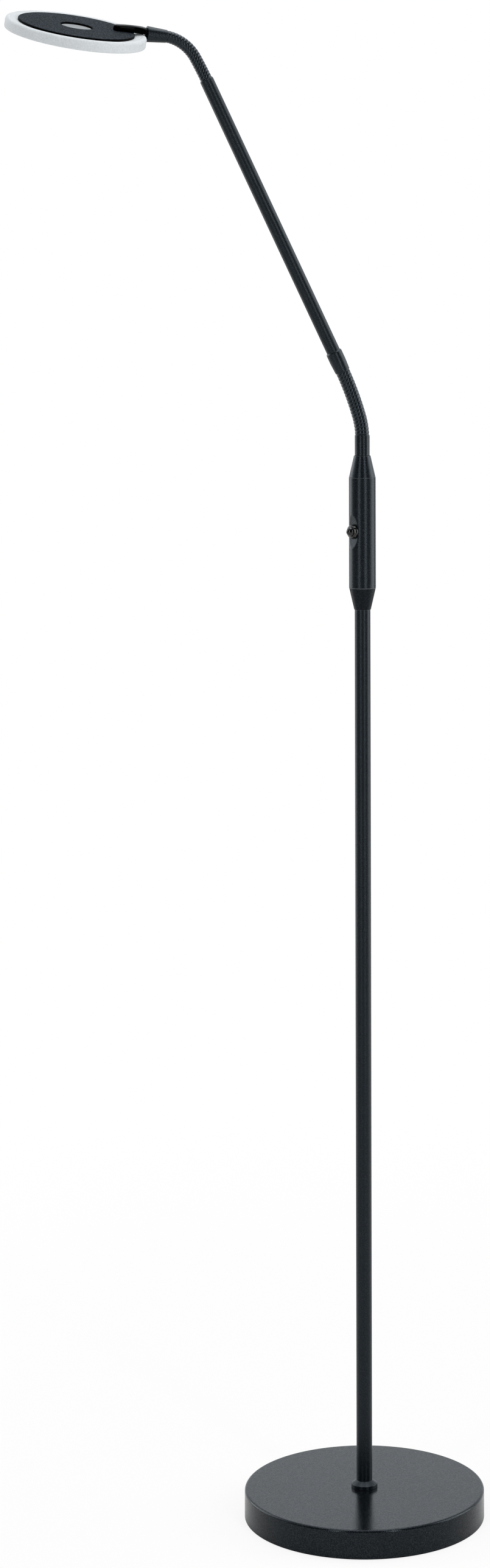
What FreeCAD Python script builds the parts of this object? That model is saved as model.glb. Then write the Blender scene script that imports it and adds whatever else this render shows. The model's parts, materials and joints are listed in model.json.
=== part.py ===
import FreeCAD, Part
import math
import os
from FreeCAD import Placement, Rotation, Vector

# Gooseneck reading floor lamp, in millimetres.
# The origin is the centre of the foam pad's underside, on the floor. +Z is up.
# The arm and the head lean towards -X, in the XZ plane.

# Fits
fixed_gap = 0.05        # radial gap of pieces that are fixed in each other
sliding_gap = 0.06      # radial gap round the push button and its plunger
ball_gap = 0.3          # radial gap between a ball nose and its socket

# Base
base_radius = 115.0
base_height = 27.5
base_edge_radius = 2.2
shell_wall = 1.5
pad_thickness = 1.2
pad_inset = 4.0         # of the pad's edge, inside the shell's
pad_stand_proud = 0.8   # how far the pad keeps the shell off the floor
plate_thickness = 1.5
plate_gap = 1.0         # between the plate's edge and the shell's wall
weight_gap = 3.5        # between the weight's edge and the shell's wall
weight_thickness = 17.0
hub_radius = 20.0
pocket_radius = 16.0    # round pocket under the weight, for the nut and the cord
pocket_height = 11.3
channel_width = 14.0    # from the pocket to the rim, for the cord
nipple_radius = 5.0
nipple_bore_radius = 2.9
nipple_below_washer = 6.5
washer_radius = 9.0
washer_thickness = 1.5
nut_height = 5.5
nut_across_flats = 14.0
plate_screw_count = 3
plate_screw_inset = 35.0     # of the screws, inside the shell's edge
plate_screw_start = 60.0     # direction of the first screw
plate_screw_radius = 2.0
plate_screw_head_radius = 3.5
plate_screw_length = 11.0
grommet_height = 10.5   # height of the cord inlet's axis
grommet_bore_radius = 3.15
grommet_barrel_radius = 4.95
grommet_flange_radius = 6.5
grommet_flange = 1.8
clamp_inset = 20.0      # cord clamp, inside the shell's edge
clamp_span = 26.0
clamp_breadth = 8.0
clamp_thickness = 3.0
clamp_saddle = 1.6
clamp_saddle_gap = 3.2  # between the saddle and each side of the channel
clamp_screw_spacing = 19.0
clamp_screw_radius = 1.5
clamp_screw_length = 12.0
clamp_screw_head_radius = 2.6
clamp_screw_head = 1.4

# Collar and pole
collar_radius = 12.5
collar_band = 3.6
collar_cone = 3.3
pole_radius = 7.55
pole_wall = 1.2
pole_length = 843.5
foot_bush_length = 30.0
supply_cable_radius = 2.5
supply_cable_start = 5.0
cable_tail = 4.0        # how far the cables reach past the spigots, into the handle

# Handle
cone_height = 21.0
cone_small_radius = 8.0
handle_radius = 12.85
handle_wall = 3.0
handle_length = 106.0
spigot_length = 8.0
pole_spigot_length = 12.0
cable_bore_radius = 3.0
seam_chamfer = 0.3
board_thickness = 1.6
board_width = 17.0
board_slot_depth = 4.0
board_offset = 3.0      # board's front face, behind the handle's axis
capacitor_radius = 2.8
capacitor_height = 7.0
capacitor_count = 2
capacitor_pitch = 8.0
capacitor_cable_gap = 4.0    # between the upper cable's end and the first capacitor
inductor_size = 7.0
inductor_height = 4.5
inductor_position = -22.0    # of its lower side, from the switch's height
chip_length = 5.0
chip_breadth = 4.0
chip_height = 1.6
chip_gap = 5.2          # between the chip and the last capacitor
resistor_length = 3.2
resistor_breadth = 1.6
resistor_height = 0.8
resistor_count = 4
resistor_pitch = 3.0
resistor_start = -16.0       # of the first row, from the switch's height
resistor_column = 4.8   # of each of the two columns, from the board's middle

# Push button switch, which faces away from the pole
switch_azimuth = 201.0
switch_above_middle = 1.4    # of the switch, above the handle's middle
recess_depth = 2.07
recess_radius = 62.0    # radius of the shallow scoop milled across the handle
bezel_radius = 6.9
bezel_front_radius = 5.9
bezel_height = 4.0
bezel_barrel_radius = 5.6
bezel_barrel_length = 2.6
button_radius = 4.7
button_rim = 0.4        # the button's edge stands this far out of the bezel
button_dome = 3.8
button_travel = 1.5
button_flange_radius = 5.1
button_flange = 1.0
button_skirt = 1.6
plunger_radius = 1.6
plunger_entry = 0.9     # how far the plunger stands in the switch at rest
plunger_spare = 1.0     # of the switch's bore, below the pushed plunger
switch_body_size = 8.4
switch_body_height = 8.5

# Lower ferrule and lower gooseneck
ferrule_radius = 7.15
ferrule_length = 20.0
ferrule_shank_radius = 5.0
ferrule_shank_length = 12.0
core_bore_radius = 2.2
neck_gap = 1.3          # gap between the ridges of two neighbouring turns
turns_per_neck = 9
lower_ridge_radius = 6.8
lower_root_radius = 5.8
lower_ridge_width = 2.2
lower_turn_length = 5.75
lower_nose_radius = 4.6
lower_nose_reach = 2.6
# how far each gap of the lower gooseneck turns the next piece, in the photographed pose
lower_entry_bend = 5.5
lower_entry_gaps = 3
arm_tilt = 25.9         # of the arm from vertical

# Sleeve and arm
sleeve_radius = 7.75
sleeve_foot_radius = 7.2
sleeve_length = 21.5
sleeve_shoulder = 1.4
sleeve_web_top = 9.5    # where the arm's tube is seated in the sleeve
arm_radius = 6.6
arm_wall = 1.0
arm_visible_length = 287.5
plug_shank_length = 14.0
plug_flange_radius = 6.2
plug_flange = 1.0
inner_cable_radius = 1.6

# Upper gooseneck
upper_ridge_radius = 5.8
upper_root_radius = 4.9
upper_ridge_width = 1.8
upper_turn_length = 5.01
upper_nose_radius = 3.5
upper_nose_reach = 1.9
upper_bore_radius = 1.8
upper_entry_bend = 1.0
upper_entry_gaps = 4
head_tilt = 84.3        # of the head's axis from vertical

# Head ferrule and bracket
head_ferrule_length = 19.6
head_ferrule_radius = 6.1
head_ferrule_end_radius = 7.7
head_socket_web = 9.0
bracket_shank_radius = 5.0
bracket_radius = 7.1
bracket_reach = 32.6
bracket_width = 9.6
bracket_taper_end = 14.0
bracket_flange = 0.5     # the bracket's root, between the ferrule and the diffuser's rim
bracket_root_chamfer = 1.2
bracket_root_top = 5.6
bracket_crown_top = 6.3
bracket_crown_place = 14.0
bracket_tip_top = 5.0
wire_groove_radius = 1.4
wire_hole_place = 19.0
bracket_screw_radius = 1.5
bracket_screw_cap_radius = 3.9
bracket_screw_cap = 1.2
bracket_screw_floor = 0.5    # of the cover, left under the screw

# Lamp head
head_roll = 15.3        # of the head about its own axis, towards -Y
head_centre_reach = 67.7
cover_radius = 55.2
cover_thickness = 2.3
cover_hole_radius = 15.2
cover_chamfer = 0.35
diffuser_radius = 66.9
diffuser_depth = 11.0   # of its underside below the cover's top
diffuser_floor = 2.5
diffuser_ledge_width = 2.9
diffuser_rim_gap = 0.6
diffuser_lip_drop = 0.6
diffuser_lip_width = 1.5
diffuser_top_edge = 3.0      # radius of the upper outer edge
diffuser_bottom_edge = 1.5
boss_gap = 0.3
boss_drop = 1.9
led_board_thickness = 1.2
led_board_inner_radius = 18.0
led_board_rim_gap = 1.0
led_count = 24
led_circle = 40.0
led_size = 3.0
led_height = 0.8
board_screw_count = 3
board_screw_circle = 24.0
board_screw_start = 90.0
board_screw_radius = 1.0
board_screw_depth = 1.4
board_screw_head_radius = 1.8
board_screw_head = 1.0

# Places that follow from the sizes
fillet_middle = 1 - math.sqrt(0.5)     # of a fillet's radius, from its corner along each side
shell_inner_radius = base_radius - shell_wall
pad_radius = base_radius - pad_inset
plate_radius = shell_inner_radius - plate_gap
weight_radius = shell_inner_radius - weight_gap
plate_screw_circle = base_radius - plate_screw_inset
clamp_distance = base_radius - clamp_inset
shell_under = base_height - shell_wall
plate_bottom = pad_thickness
weight_bottom = plate_bottom + plate_thickness
weight_top = weight_bottom + weight_thickness
pocket_top = weight_bottom + pocket_height
washer_bottom = pocket_top - washer_thickness
nut_bottom = washer_bottom - nut_height
nipple_bottom = washer_bottom - nipple_below_washer
pole_top = base_height + pole_length
handle_foot = pole_top + cone_height
handle_top = handle_foot + handle_length
ferrule_foot = handle_top + cone_height
ferrule_top = ferrule_foot + ferrule_length
handle_inner_radius = handle_radius - handle_wall
pole_inner_radius = pole_radius - pole_wall
arm_inner_radius = arm_radius - arm_wall
switch_height = handle_foot + handle_length / 2 + switch_above_middle
recess_floor = handle_radius - recess_depth
bezel_front = recess_floor + bezel_height
handle_cable_foot = handle_top - spigot_length - cable_tail
board_length = handle_length - 2 * spigot_length + 2 * board_slot_depth
gap_count = turns_per_neck + 1

# ridge radius, root radius, ridge width, turn length, nose radius, nose reach, bore radius
LOWER = (lower_ridge_radius, lower_root_radius, lower_ridge_width, lower_turn_length,
         lower_nose_radius, lower_nose_reach, core_bore_radius)
UPPER = (upper_ridge_radius, upper_root_radius, upper_ridge_width, upper_turn_length,
         upper_nose_radius, upper_nose_reach, upper_bore_radius)


def turned(corners):
    """A solid turned about the Z axis from its half outline.

    Each corner is (radius, height). A corner of four numbers is reached by an arc that passes
    through the point given by its last two numbers."""
    edges = []
    start = corners[-1]
    for corner in corners:
        a = Vector(start[0], 0, start[1])
        b = Vector(corner[0], 0, corner[1])
        if len(corner) == 4:
            edges.append(Part.Arc(a, Vector(corner[2], 0, corner[3]), b).toShape())
        else:
            edges.append(Part.LineSegment(a, b).toShape())
        start = corner
    face = Part.Face(Part.Wire(edges))
    return face.revolve(Vector(0, 0, 0), Vector(0, 0, 1), 360)


def ring(outer, inner, bottom, top):
    """A plain ring or tube about the Z axis."""
    return turned([(inner, bottom), (outer, bottom), (outer, top), (inner, top)])


def rod(radius, bottom, top):
    """A plain round bar along the Z axis."""
    return Part.makeCylinder(radius, top - bottom, Vector(0, 0, bottom))


def block(length, width, height, centre, bottom):
    """A box whose middle in X and Y is centre and whose underside is at bottom."""
    corner = Vector(centre[0] - length / 2, centre[1] - width / 2, bottom)
    return Part.makeBox(length, width, height, corner)


def on_circle(shape, radius, count, start=0.0):
    """Copies of a shape set round the Z axis, as a list."""
    copies = []
    for k in range(count):
        angle = math.radians(start + 360.0 * k / count)
        copy = shape.copy()
        copy.translate(Vector(radius * math.cos(angle), radius * math.sin(angle), 0))
        copies.append(copy)
    return copies


def drilled(shape, holes):
    """The shape with all the holes cut out of it."""
    for hole in holes:
        shape = shape.cut(hole)
    return shape


def put(shape, place):
    """A copy of the shape moved to a place."""
    moved = shape.copy()
    moved.Placement = place.multiply(shape.Placement)
    return moved


def moved_on(place, distance):
    """The place, moved along its own Z axis."""
    return place.multiply(Placement(Vector(0, 0, distance), Rotation()))


def tilted(place, degrees):
    """The place, turned about its own Y axis so that its Z axis leans further over."""
    return place.multiply(Placement(Vector(0, 0, 0), Rotation(Vector(0, 1, 0), -degrees)))


def on_sphere(radius, height):
    """The radius of a ball at a height above its middle."""
    return math.sqrt(radius ** 2 - height ** 2)


# Base

def base_shell():
    """The pressed steel cover of the base, with the holes for the nipple and the grommet."""
    inner = shell_inner_radius
    bend = base_edge_radius * fillet_middle
    inner_edge = base_edge_radius - shell_wall
    inner_bend = inner_edge * fillet_middle
    shell = turned([
        (base_radius, pad_stand_proud),
        (base_radius, base_height - base_edge_radius),
        (base_radius - base_edge_radius, base_height, base_radius - bend, base_height - bend),
        (nipple_radius + fixed_gap, base_height),
        (nipple_radius + fixed_gap, shell_under),
        (inner - inner_edge, shell_under),
        (inner, shell_under - inner_edge, inner - inner_bend, shell_under - inner_bend),
        (inner, pad_stand_proud),
    ])
    inlet = Part.makeCylinder(grommet_barrel_radius + fixed_gap, base_radius,
                              Vector(0, 0, grommet_height), Vector(1, 0, 0))
    return shell.cut(inlet)


def base_weight():
    """The cast-iron disc, with its hub, the pocket and channel under it and its screw holes."""
    weight = ring(weight_radius, nipple_radius + fixed_gap, weight_bottom, weight_top)
    weight = weight.fuse(ring(hub_radius, nipple_radius + fixed_gap, weight_top, shell_under))
    channel = Part.makeBox(weight_radius, channel_width, pocket_height,
                           Vector(0, -channel_width / 2, weight_bottom))
    seat = block(clamp_breadth + 2 * fixed_gap, clamp_span + 2 * fixed_gap, clamp_thickness,
                 (clamp_distance, 0), weight_bottom)
    holes = [rod(pocket_radius, weight_bottom, pocket_top), channel, seat]
    screw = rod(plate_screw_radius + fixed_gap, weight_bottom, plate_bottom + plate_screw_length)
    holes += on_circle(screw, plate_screw_circle, plate_screw_count, plate_screw_start)
    for side in (-1, 1):
        hole = rod(clamp_screw_radius + fixed_gap, weight_bottom, clamp_screw_top())
        hole.translate(Vector(clamp_distance, side * clamp_screw_spacing / 2, 0))
        holes.append(hole)
    return drilled(weight, holes).removeSplitter()


def base_plate():
    """The steel plate that closes the base from below."""
    plate = rod(plate_radius, plate_bottom, weight_bottom)
    hole = rod(plate_screw_head_radius + fixed_gap, plate_bottom, weight_bottom)
    return drilled(plate, on_circle(hole, plate_screw_circle, plate_screw_count, plate_screw_start))


def plate_screws():
    """The screws that hold the plate's rim up against the weight, each a head and a shaft."""
    screw = rod(plate_screw_head_radius, plate_bottom, weight_bottom)
    screw = screw.fuse(rod(plate_screw_radius, plate_bottom, plate_bottom + plate_screw_length))
    return Part.makeCompound(on_circle(screw, plate_screw_circle, plate_screw_count, plate_screw_start))


def base_pad():
    """The foam pad that the lamp stands on."""
    return rod(pad_radius, 0, pad_thickness)


def base_nipple():
    """The hollow threaded rod that ties the pole, the shell and the weight together."""
    top = base_height + foot_bush_length
    return ring(nipple_radius, nipple_bore_radius, nipple_bottom, top)


def base_washer():
    """The washer between the nut and the weight."""
    return ring(washer_radius, nipple_radius + fixed_gap, washer_bottom, pocket_top)


def base_nut():
    """The hexagon nut under the weight."""
    corner = nut_across_flats / math.sqrt(3)
    points = []
    for k in range(7):
        angle = math.radians(60 * k)
        points.append(Vector(corner * math.cos(angle), corner * math.sin(angle), nut_bottom))
    nut = Part.Face(Part.makePolygon(points)).extrude(Vector(0, 0, nut_height))
    return nut.cut(rod(nipple_radius + fixed_gap, nut_bottom, washer_bottom))


def base_collar():
    """The turned collar round the pole's foot, a low band under a shallow cone."""
    band_top = base_height + collar_band
    inner = pole_radius + fixed_gap
    return turned([
        (inner, base_height),
        (collar_radius - seam_chamfer, base_height),
        (collar_radius, base_height + seam_chamfer),
        (collar_radius, band_top - seam_chamfer),
        (collar_radius - seam_chamfer, band_top),
        (inner, band_top + collar_cone),
    ])


def cord_grommet():
    """The rubber grommet of the cord inlet, in the rear of the shell. Its bore is along X."""
    inner_face = shell_inner_radius - grommet_flange
    outer_face = base_radius + grommet_flange
    flange_in = shell_inner_radius - 2 * fixed_gap
    flange_out = base_radius + fixed_gap
    grommet = turned([
        (grommet_bore_radius, inner_face),
        (grommet_flange_radius, inner_face),
        (grommet_flange_radius, flange_in - flange_sagitta()),
        (grommet_barrel_radius, flange_in - flange_sagitta()),
        (grommet_barrel_radius, flange_out),
        (grommet_flange_radius, flange_out),
        (grommet_flange_radius - seam_chamfer, outer_face),
        (grommet_bore_radius, outer_face),
    ])
    turn = Placement(Vector(0, 0, grommet_height), Rotation(Vector(0, 1, 0), 90))
    return put(grommet, turn)


def flange_sagitta():
    """How far the shell's inner wall curves away over half the grommet's flange."""
    return shell_inner_radius - on_sphere(shell_inner_radius, grommet_flange_radius)


def clamp_screw_top():
    """The height that the cord clamp's screws reach."""
    return weight_bottom + clamp_screw_head + clamp_screw_length


def cord_clamp():
    """The bar across the channel that grips the supply cord against the weight."""
    bar = block(clamp_breadth, clamp_span, clamp_thickness, (clamp_distance, 0), weight_bottom)
    saddle = block(clamp_breadth, channel_width - 2 * clamp_saddle_gap, clamp_saddle,
                   (clamp_distance, 0), weight_bottom + clamp_thickness)
    bar = bar.fuse(saddle)
    for side in (-1, 1):
        head = rod(clamp_screw_head_radius + fixed_gap, weight_bottom,
                   weight_bottom + clamp_screw_head)
        shaft = rod(clamp_screw_radius + fixed_gap, weight_bottom, clamp_screw_top())
        for hole in (head, shaft):
            hole.translate(Vector(clamp_distance, side * clamp_screw_spacing / 2, 0))
            bar = bar.cut(hole)
    return bar


def clamp_screws():
    """The two screws of the cord clamp."""
    screws = []
    for side in (-1, 1):
        screw = rod(clamp_screw_head_radius, weight_bottom, weight_bottom + clamp_screw_head)
        screw = screw.fuse(rod(clamp_screw_radius, weight_bottom, clamp_screw_top()))
        screw.translate(Vector(clamp_distance, side * clamp_screw_spacing / 2, 0))
        screws.append(screw)
    return Part.makeCompound(screws)


# Pole and handle

def pole_tube():
    """The plain steel pole."""
    return ring(pole_radius, pole_inner_radius, base_height, pole_top)


def pole_foot_bush():
    """The threaded bush pressed into the pole's foot, for the nipple."""
    return ring(pole_inner_radius - fixed_gap, nipple_radius + fixed_gap, base_height,
                base_height + foot_bush_length)


def supply_cable():
    """The two-core cable inside the pole, from the base up to the driver board."""
    return rod(supply_cable_radius, supply_cable_start, handle_foot + spigot_length + cable_tail)


def board_slot():
    """The room that the driver board's ends take in the two cones' spigots."""
    slot = Part.makeBox(board_thickness + 2 * fixed_gap, board_width + 2 * fixed_gap,
                        board_length + 2 * fixed_gap,
                        Vector(-board_offset - board_thickness - fixed_gap,
                               -board_width / 2 - fixed_gap, board_foot() - fixed_gap))
    return turned_to_switch(slot)


def board_foot():
    """The height of the driver board's lower end."""
    return handle_foot + spigot_length - board_slot_depth


def turned_to_switch(shape):
    """The shape turned about the pole's axis, so that its +X faces the way that the switch does."""
    return put(shape, Placement(Vector(0, 0, 0), Rotation(Vector(0, 0, 1), switch_azimuth)))


def handle_lower_cone():
    """The turned cone between the pole and the handle, with a spigot into each."""
    spigot = handle_inner_radius - fixed_gap
    pole_spigot = pole_inner_radius - fixed_gap
    cone = turned([
        (cable_bore_radius, pole_top - pole_spigot_length),
        (pole_spigot, pole_top - pole_spigot_length),
        (pole_spigot, pole_top),
        (cone_small_radius, pole_top),
        (cone_small_radius, pole_top + 2 * seam_chamfer),
        (handle_radius, handle_foot - 2 * seam_chamfer),
        (handle_radius - seam_chamfer, handle_foot),
        (spigot, handle_foot),
        (spigot, handle_foot + spigot_length),
        (cable_bore_radius, handle_foot + spigot_length),
    ])
    return cone.cut(board_slot())


def handle_tube():
    """The fat hand grip, with the scoop, the seat and the hole of the push button."""
    tube = turned([
        (handle_inner_radius, handle_foot),
        (handle_radius - seam_chamfer, handle_foot),
        (handle_radius, handle_foot + seam_chamfer),
        (handle_radius, handle_top - seam_chamfer),
        (handle_radius - seam_chamfer, handle_top),
        (handle_inner_radius, handle_top),
    ])
    scoop = Part.makeCylinder(recess_radius, 4 * handle_radius,
                              Vector(recess_floor + recess_radius, -2 * handle_radius,
                                     switch_height), Vector(0, 1, 0))
    seat = Part.makeCylinder(bezel_radius + fixed_gap, handle_radius,
                             Vector(recess_floor, 0, switch_height), Vector(1, 0, 0))
    hole = Part.makeCylinder(bezel_barrel_radius + fixed_gap, handle_radius,
                             Vector(0, 0, switch_height), Vector(1, 0, 0))
    for cutter in (scoop, seat, hole):
        tube = tube.cut(turned_to_switch(cutter))
    return tube


def handle_upper_cone():
    """The turned cone between the handle and the lower ferrule."""
    spigot = handle_inner_radius - fixed_gap
    shank = ferrule_shank_radius + fixed_gap
    shank_foot = ferrule_foot - ferrule_shank_length
    cone = turned([
        (cable_bore_radius, handle_top - spigot_length),
        (spigot, handle_top - spigot_length),
        (spigot, handle_top),
        (handle_radius - seam_chamfer, handle_top),
        (handle_radius, handle_top + 2 * seam_chamfer),
        (cone_small_radius, ferrule_foot - 2 * seam_chamfer),
        (cone_small_radius - seam_chamfer, ferrule_foot),
        (shank, ferrule_foot),
        (shank, shank_foot),
        (cable_bore_radius, shank_foot),
    ])
    return cone.cut(board_slot())


def driver_board():
    """The circuit board that drives the light, held by its ends in the two cones."""
    board = Part.makeBox(board_thickness, board_width, board_length,
                         Vector(-board_offset - board_thickness, -board_width / 2, board_foot()))
    return turned_to_switch(board)


def driver_parts():
    """The parts soldered to the front of the driver board, as separate solids."""
    middle = switch_height
    front = -board_offset
    parts = []
    top = handle_cable_foot - capacitor_cable_gap - capacitor_radius
    for k in range(capacitor_count):
        place = Vector(front, 0, top - capacitor_pitch * k)
        parts.append(Part.makeCylinder(capacitor_radius, capacitor_height, place, Vector(1, 0, 0)))
    chip_foot = place.z - capacitor_radius - chip_gap - chip_breadth
    parts.append(Part.makeBox(inductor_height, inductor_size, inductor_size,
                              Vector(front, -inductor_size / 2, middle + inductor_position)))
    parts.append(Part.makeBox(chip_height, chip_length, chip_breadth,
                              Vector(front, -chip_length / 2, chip_foot)))
    for k in range(resistor_count):
        side = resistor_column if k % 2 else -resistor_column
        row = middle + resistor_start + resistor_pitch * (k // 2)
        parts.append(Part.makeBox(resistor_height, resistor_length, resistor_breadth,
                                  Vector(front, side - resistor_length / 2, row)))
    return turned_to_switch(Part.makeCompound(parts))


def facing_out(shape):
    """A shape made along Z from the pole's axis, turned to point out through the switch's hole."""
    outward = Placement(Vector(0, 0, switch_height), Rotation(Vector(0, 1, 0), 90))
    return turned_to_switch(put(shape, outward))


def bezel_step():
    """Where the bezel's bore widens, which is the stop of the button's flange."""
    return recess_floor - bezel_barrel_length + button_travel + button_flange + 2 * sliding_gap


def switch_bezel():
    """The coned ring round the push button, with a barrel through the handle's wall."""
    inner = button_radius + sliding_gap
    wide = button_flange_radius + sliding_gap
    foot = recess_floor - bezel_barrel_length
    return facing_out(turned([
        (wide, foot),
        (bezel_barrel_radius, foot),
        (bezel_barrel_radius, recess_floor),
        (bezel_radius, recess_floor),
        (bezel_radius, recess_floor + 2 * seam_chamfer),
        (bezel_front_radius, bezel_front - seam_chamfer),
        (bezel_front_radius - seam_chamfer, bezel_front),
        (inner, bezel_front),
        (inner, bezel_step()),
        (wide, bezel_step()),
    ]))


def switch_button():
    """The domed push button, with the flange that keeps it in the bezel."""
    edge = bezel_front + button_rim
    flange_top = bezel_step() - sliding_gap
    flange_foot = flange_top - button_flange
    dome_radius = (button_radius ** 2 + button_dome ** 2) / (2 * button_dome)
    half = button_radius / 2
    lift = button_dome - dome_radius + on_sphere(dome_radius, half)
    return facing_out(turned([
        (plunger_radius + fixed_gap, flange_foot),
        (button_flange_radius, flange_foot),
        (button_flange_radius, flange_top),
        (button_radius, flange_top),
        (button_radius, edge),
        (0, edge + button_dome, half, edge + lift),
        (0, edge - button_skirt),
        (plunger_radius + fixed_gap, edge - button_skirt),
    ]))


def switch_plunger():
    """The switch's own plunger, which the button pushes and which pushes it back."""
    top = bezel_front + button_rim - button_skirt
    bottom = switch_body_height - board_offset - plunger_entry
    return facing_out(rod(plunger_radius, bottom, top))


def switch_body():
    """The latching switch on the board, with the bore that its plunger slides in."""
    body = block(switch_body_size, switch_body_size, switch_body_height, (0, 0), -board_offset)
    top = switch_body_height - board_offset
    foot = top - plunger_entry - button_travel - plunger_spare
    bore = rod(plunger_radius + sliding_gap, foot, top)
    return facing_out(body.cut(bore))


def lower_ferrule():
    """The ferrule on the handle, with a shank into the cone and a ball nose for the gooseneck."""
    body = turned([
        (core_bore_radius, ferrule_foot - ferrule_shank_length),
        (ferrule_shank_radius, ferrule_foot - ferrule_shank_length),
        (ferrule_shank_radius, ferrule_foot),
        (ferrule_radius - seam_chamfer, ferrule_foot),
        (ferrule_radius, ferrule_foot + seam_chamfer),
        (ferrule_radius, ferrule_top - seam_chamfer),
        (ferrule_radius - seam_chamfer, ferrule_top),
        (core_bore_radius, ferrule_top),
    ])
    return body.fuse(nose(LOWER, ferrule_top))


# Goosenecks

def nose(neck, face):
    """The ball nose that stands on a face and reaches through the gap into the next socket."""
    ball, reach, bore = neck[4], neck[5], neck[6]
    middle = face + neck_gap / 2
    low = on_sphere(ball, neck_gap / 2)
    return turned([
        (bore, face),
        (low, face),
        (on_sphere(ball, reach), middle + reach, ball, middle),
        (bore, middle + reach),
    ])


def socket(neck, face):
    """The ball-shaped room that a piece has above its lower face, for the nose below it."""
    return Part.makeSphere(neck[4] + ball_gap, Vector(0, 0, face - neck_gap / 2))


def neck_turn(neck):
    """One piece of a gooseneck: two round ridges, a socket below and a ball nose on top."""
    ridge, root, width, length, ball, _, bore = neck
    hollow = ball + ball_gap
    mouth = on_sphere(hollow, neck_gap / 2)
    roof = on_sphere(hollow, bore) - neck_gap / 2
    middle = hollow * math.cos(0.5 * (math.asin(bore / hollow) + math.asin(mouth / hollow)))
    beside = math.sqrt(hollow ** 2 - middle ** 2)
    turn = turned([
        (root, 0),
        (root, width, ridge, width / 2),
        (root, length - width),
        (root, length, ridge, length - width / 2),
        (bore, length),
        (bore, roof),
        (mouth, 0, beside, middle - neck_gap / 2),
    ])
    return turn.fuse(nose(neck, length)).removeSplitter()


def bends(total, entry_bend, entry_gaps):
    """How far each gap of a gooseneck turns the next piece: a few entry gaps, and the rest alike."""
    later = (total - entry_bend * entry_gaps) / (gap_count - entry_gaps)
    return [entry_bend if k < entry_gaps else later for k in range(gap_count)]


def neck_places(start, bends, length):
    """The places of a gooseneck's hinges, of its turns and of the face that follows it.

    It starts on the face that the first gap lies on. Half a gap on is the first hinge, then
    the first turn, and so on. A hinge's place is turned as the piece before it."""
    hinges = []
    turns = []
    place = start
    for bend in bends:
        place = moved_on(place, neck_gap / 2)
        hinges.append(place)
        place = moved_on(tilted(place, bend), neck_gap / 2)
        turns.append(place)
        place = moved_on(place, length)
    return hinges, turns[:-1], turns[-1]


def spine():
    """The places along the lamp's bent part: hinges and turns of both goosenecks, and the faces
    where the sleeve and the head ferrule begin."""
    lower = bends(arm_tilt, lower_entry_bend, lower_entry_gaps)
    upper = bends(head_tilt - arm_tilt, upper_entry_bend, upper_entry_gaps)
    start = Placement(Vector(0, 0, ferrule_top), Rotation())
    lower_hinges, lower_turns, sleeve = neck_places(start, lower, lower_turn_length)
    arm_end = moved_on(sleeve, sleeve_length + arm_visible_length + plug_flange)
    upper_hinges, upper_turns, head = neck_places(arm_end, upper, upper_turn_length)
    return {"lower_hinges": lower_hinges, "lower_turns": lower_turns, "sleeve": sleeve,
            "upper_hinges": upper_hinges, "upper_turns": upper_turns, "head": head}


# Sleeve and arm, made along Z from the sleeve's lower face

def arm_sleeve():
    """The sleeve between the lower gooseneck and the arm, wider towards the arm."""
    sleeve = turned([
        (core_bore_radius, 0),
        (sleeve_foot_radius - seam_chamfer, 0),
        (sleeve_foot_radius, seam_chamfer),
        (sleeve_radius, sleeve_length / 2),
        (sleeve_radius, sleeve_length - sleeve_shoulder),
        (arm_radius + fixed_gap, sleeve_length),
        (arm_radius + fixed_gap, sleeve_web_top),
        (core_bore_radius, sleeve_web_top),
    ])
    return sleeve.cut(socket(LOWER, 0))


def arm_tube():
    """The straight tube of the arm."""
    return ring(arm_radius, arm_inner_radius, sleeve_web_top, arm_tube_top())


def arm_tube_top():
    """How far the arm's tube reaches from the sleeve's lower face."""
    return sleeve_length + arm_visible_length


def arm_plug():
    """The plug in the arm's upper end, which carries the upper gooseneck."""
    top = arm_tube_top() + plug_flange
    plug = turned([
        (upper_bore_radius, arm_tube_top() - plug_shank_length),
        (arm_inner_radius - fixed_gap, arm_tube_top() - plug_shank_length),
        (arm_inner_radius - fixed_gap, arm_tube_top()),
        (plug_flange_radius, arm_tube_top()),
        (plug_flange_radius, top - seam_chamfer),
        (plug_flange_radius - seam_chamfer, top),
        (upper_bore_radius, top),
    ])
    return plug.fuse(nose(UPPER, top))


def arm_cable():
    """The thin cable inside the arm."""
    return rod(inner_cable_radius, lower_nose_radius + ball_gap, arm_tube_top())


def handle_cable():
    """The thin cable from the driver board up into the lower ferrule."""
    return rod(inner_cable_radius, handle_cable_foot, ferrule_top)


# Head, made along Z from the head ferrule's face, or in the frame of the lamp head

def head_ferrule():
    """The ferrule between the upper gooseneck and the bracket, wider towards the bracket."""
    shank = bracket_shank_radius + fixed_gap
    ferrule = turned([
        (upper_bore_radius, 0),
        (head_ferrule_radius - seam_chamfer, 0),
        (head_ferrule_radius, seam_chamfer),
        (head_ferrule_end_radius, head_ferrule_length - seam_chamfer),
        (head_ferrule_end_radius - seam_chamfer, head_ferrule_length),
        (shank, head_ferrule_length),
        (shank, head_socket_web),
        (upper_bore_radius, head_socket_web),
    ])
    return ferrule.cut(socket(UPPER, 0))


def head_frame(ferrule_place):
    """The lamp head's place: +X from the ferrule to the disc's middle, +Z out of its top."""
    end = moved_on(ferrule_place, head_ferrule_length)
    rolled = end.multiply(Placement(Vector(0, 0, 0), Rotation(Vector(0, 0, 1), -head_roll)))
    axes = Rotation(Vector(0, 0, 1), Vector(0, -1, 0), Vector(1, 0, 0), "ZXY")
    return rolled.multiply(Placement(Vector(0, 0, 0), axes))


def along_head(radius, start, end):
    """A round bar along the head's own axis."""
    return Part.makeCylinder(radius, end - start, Vector(start, 0, 0), Vector(1, 0, 0))


def bracket_tip():
    """How far out the middle of the bracket's round tip lies."""
    return bracket_reach - bracket_width / 2


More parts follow.
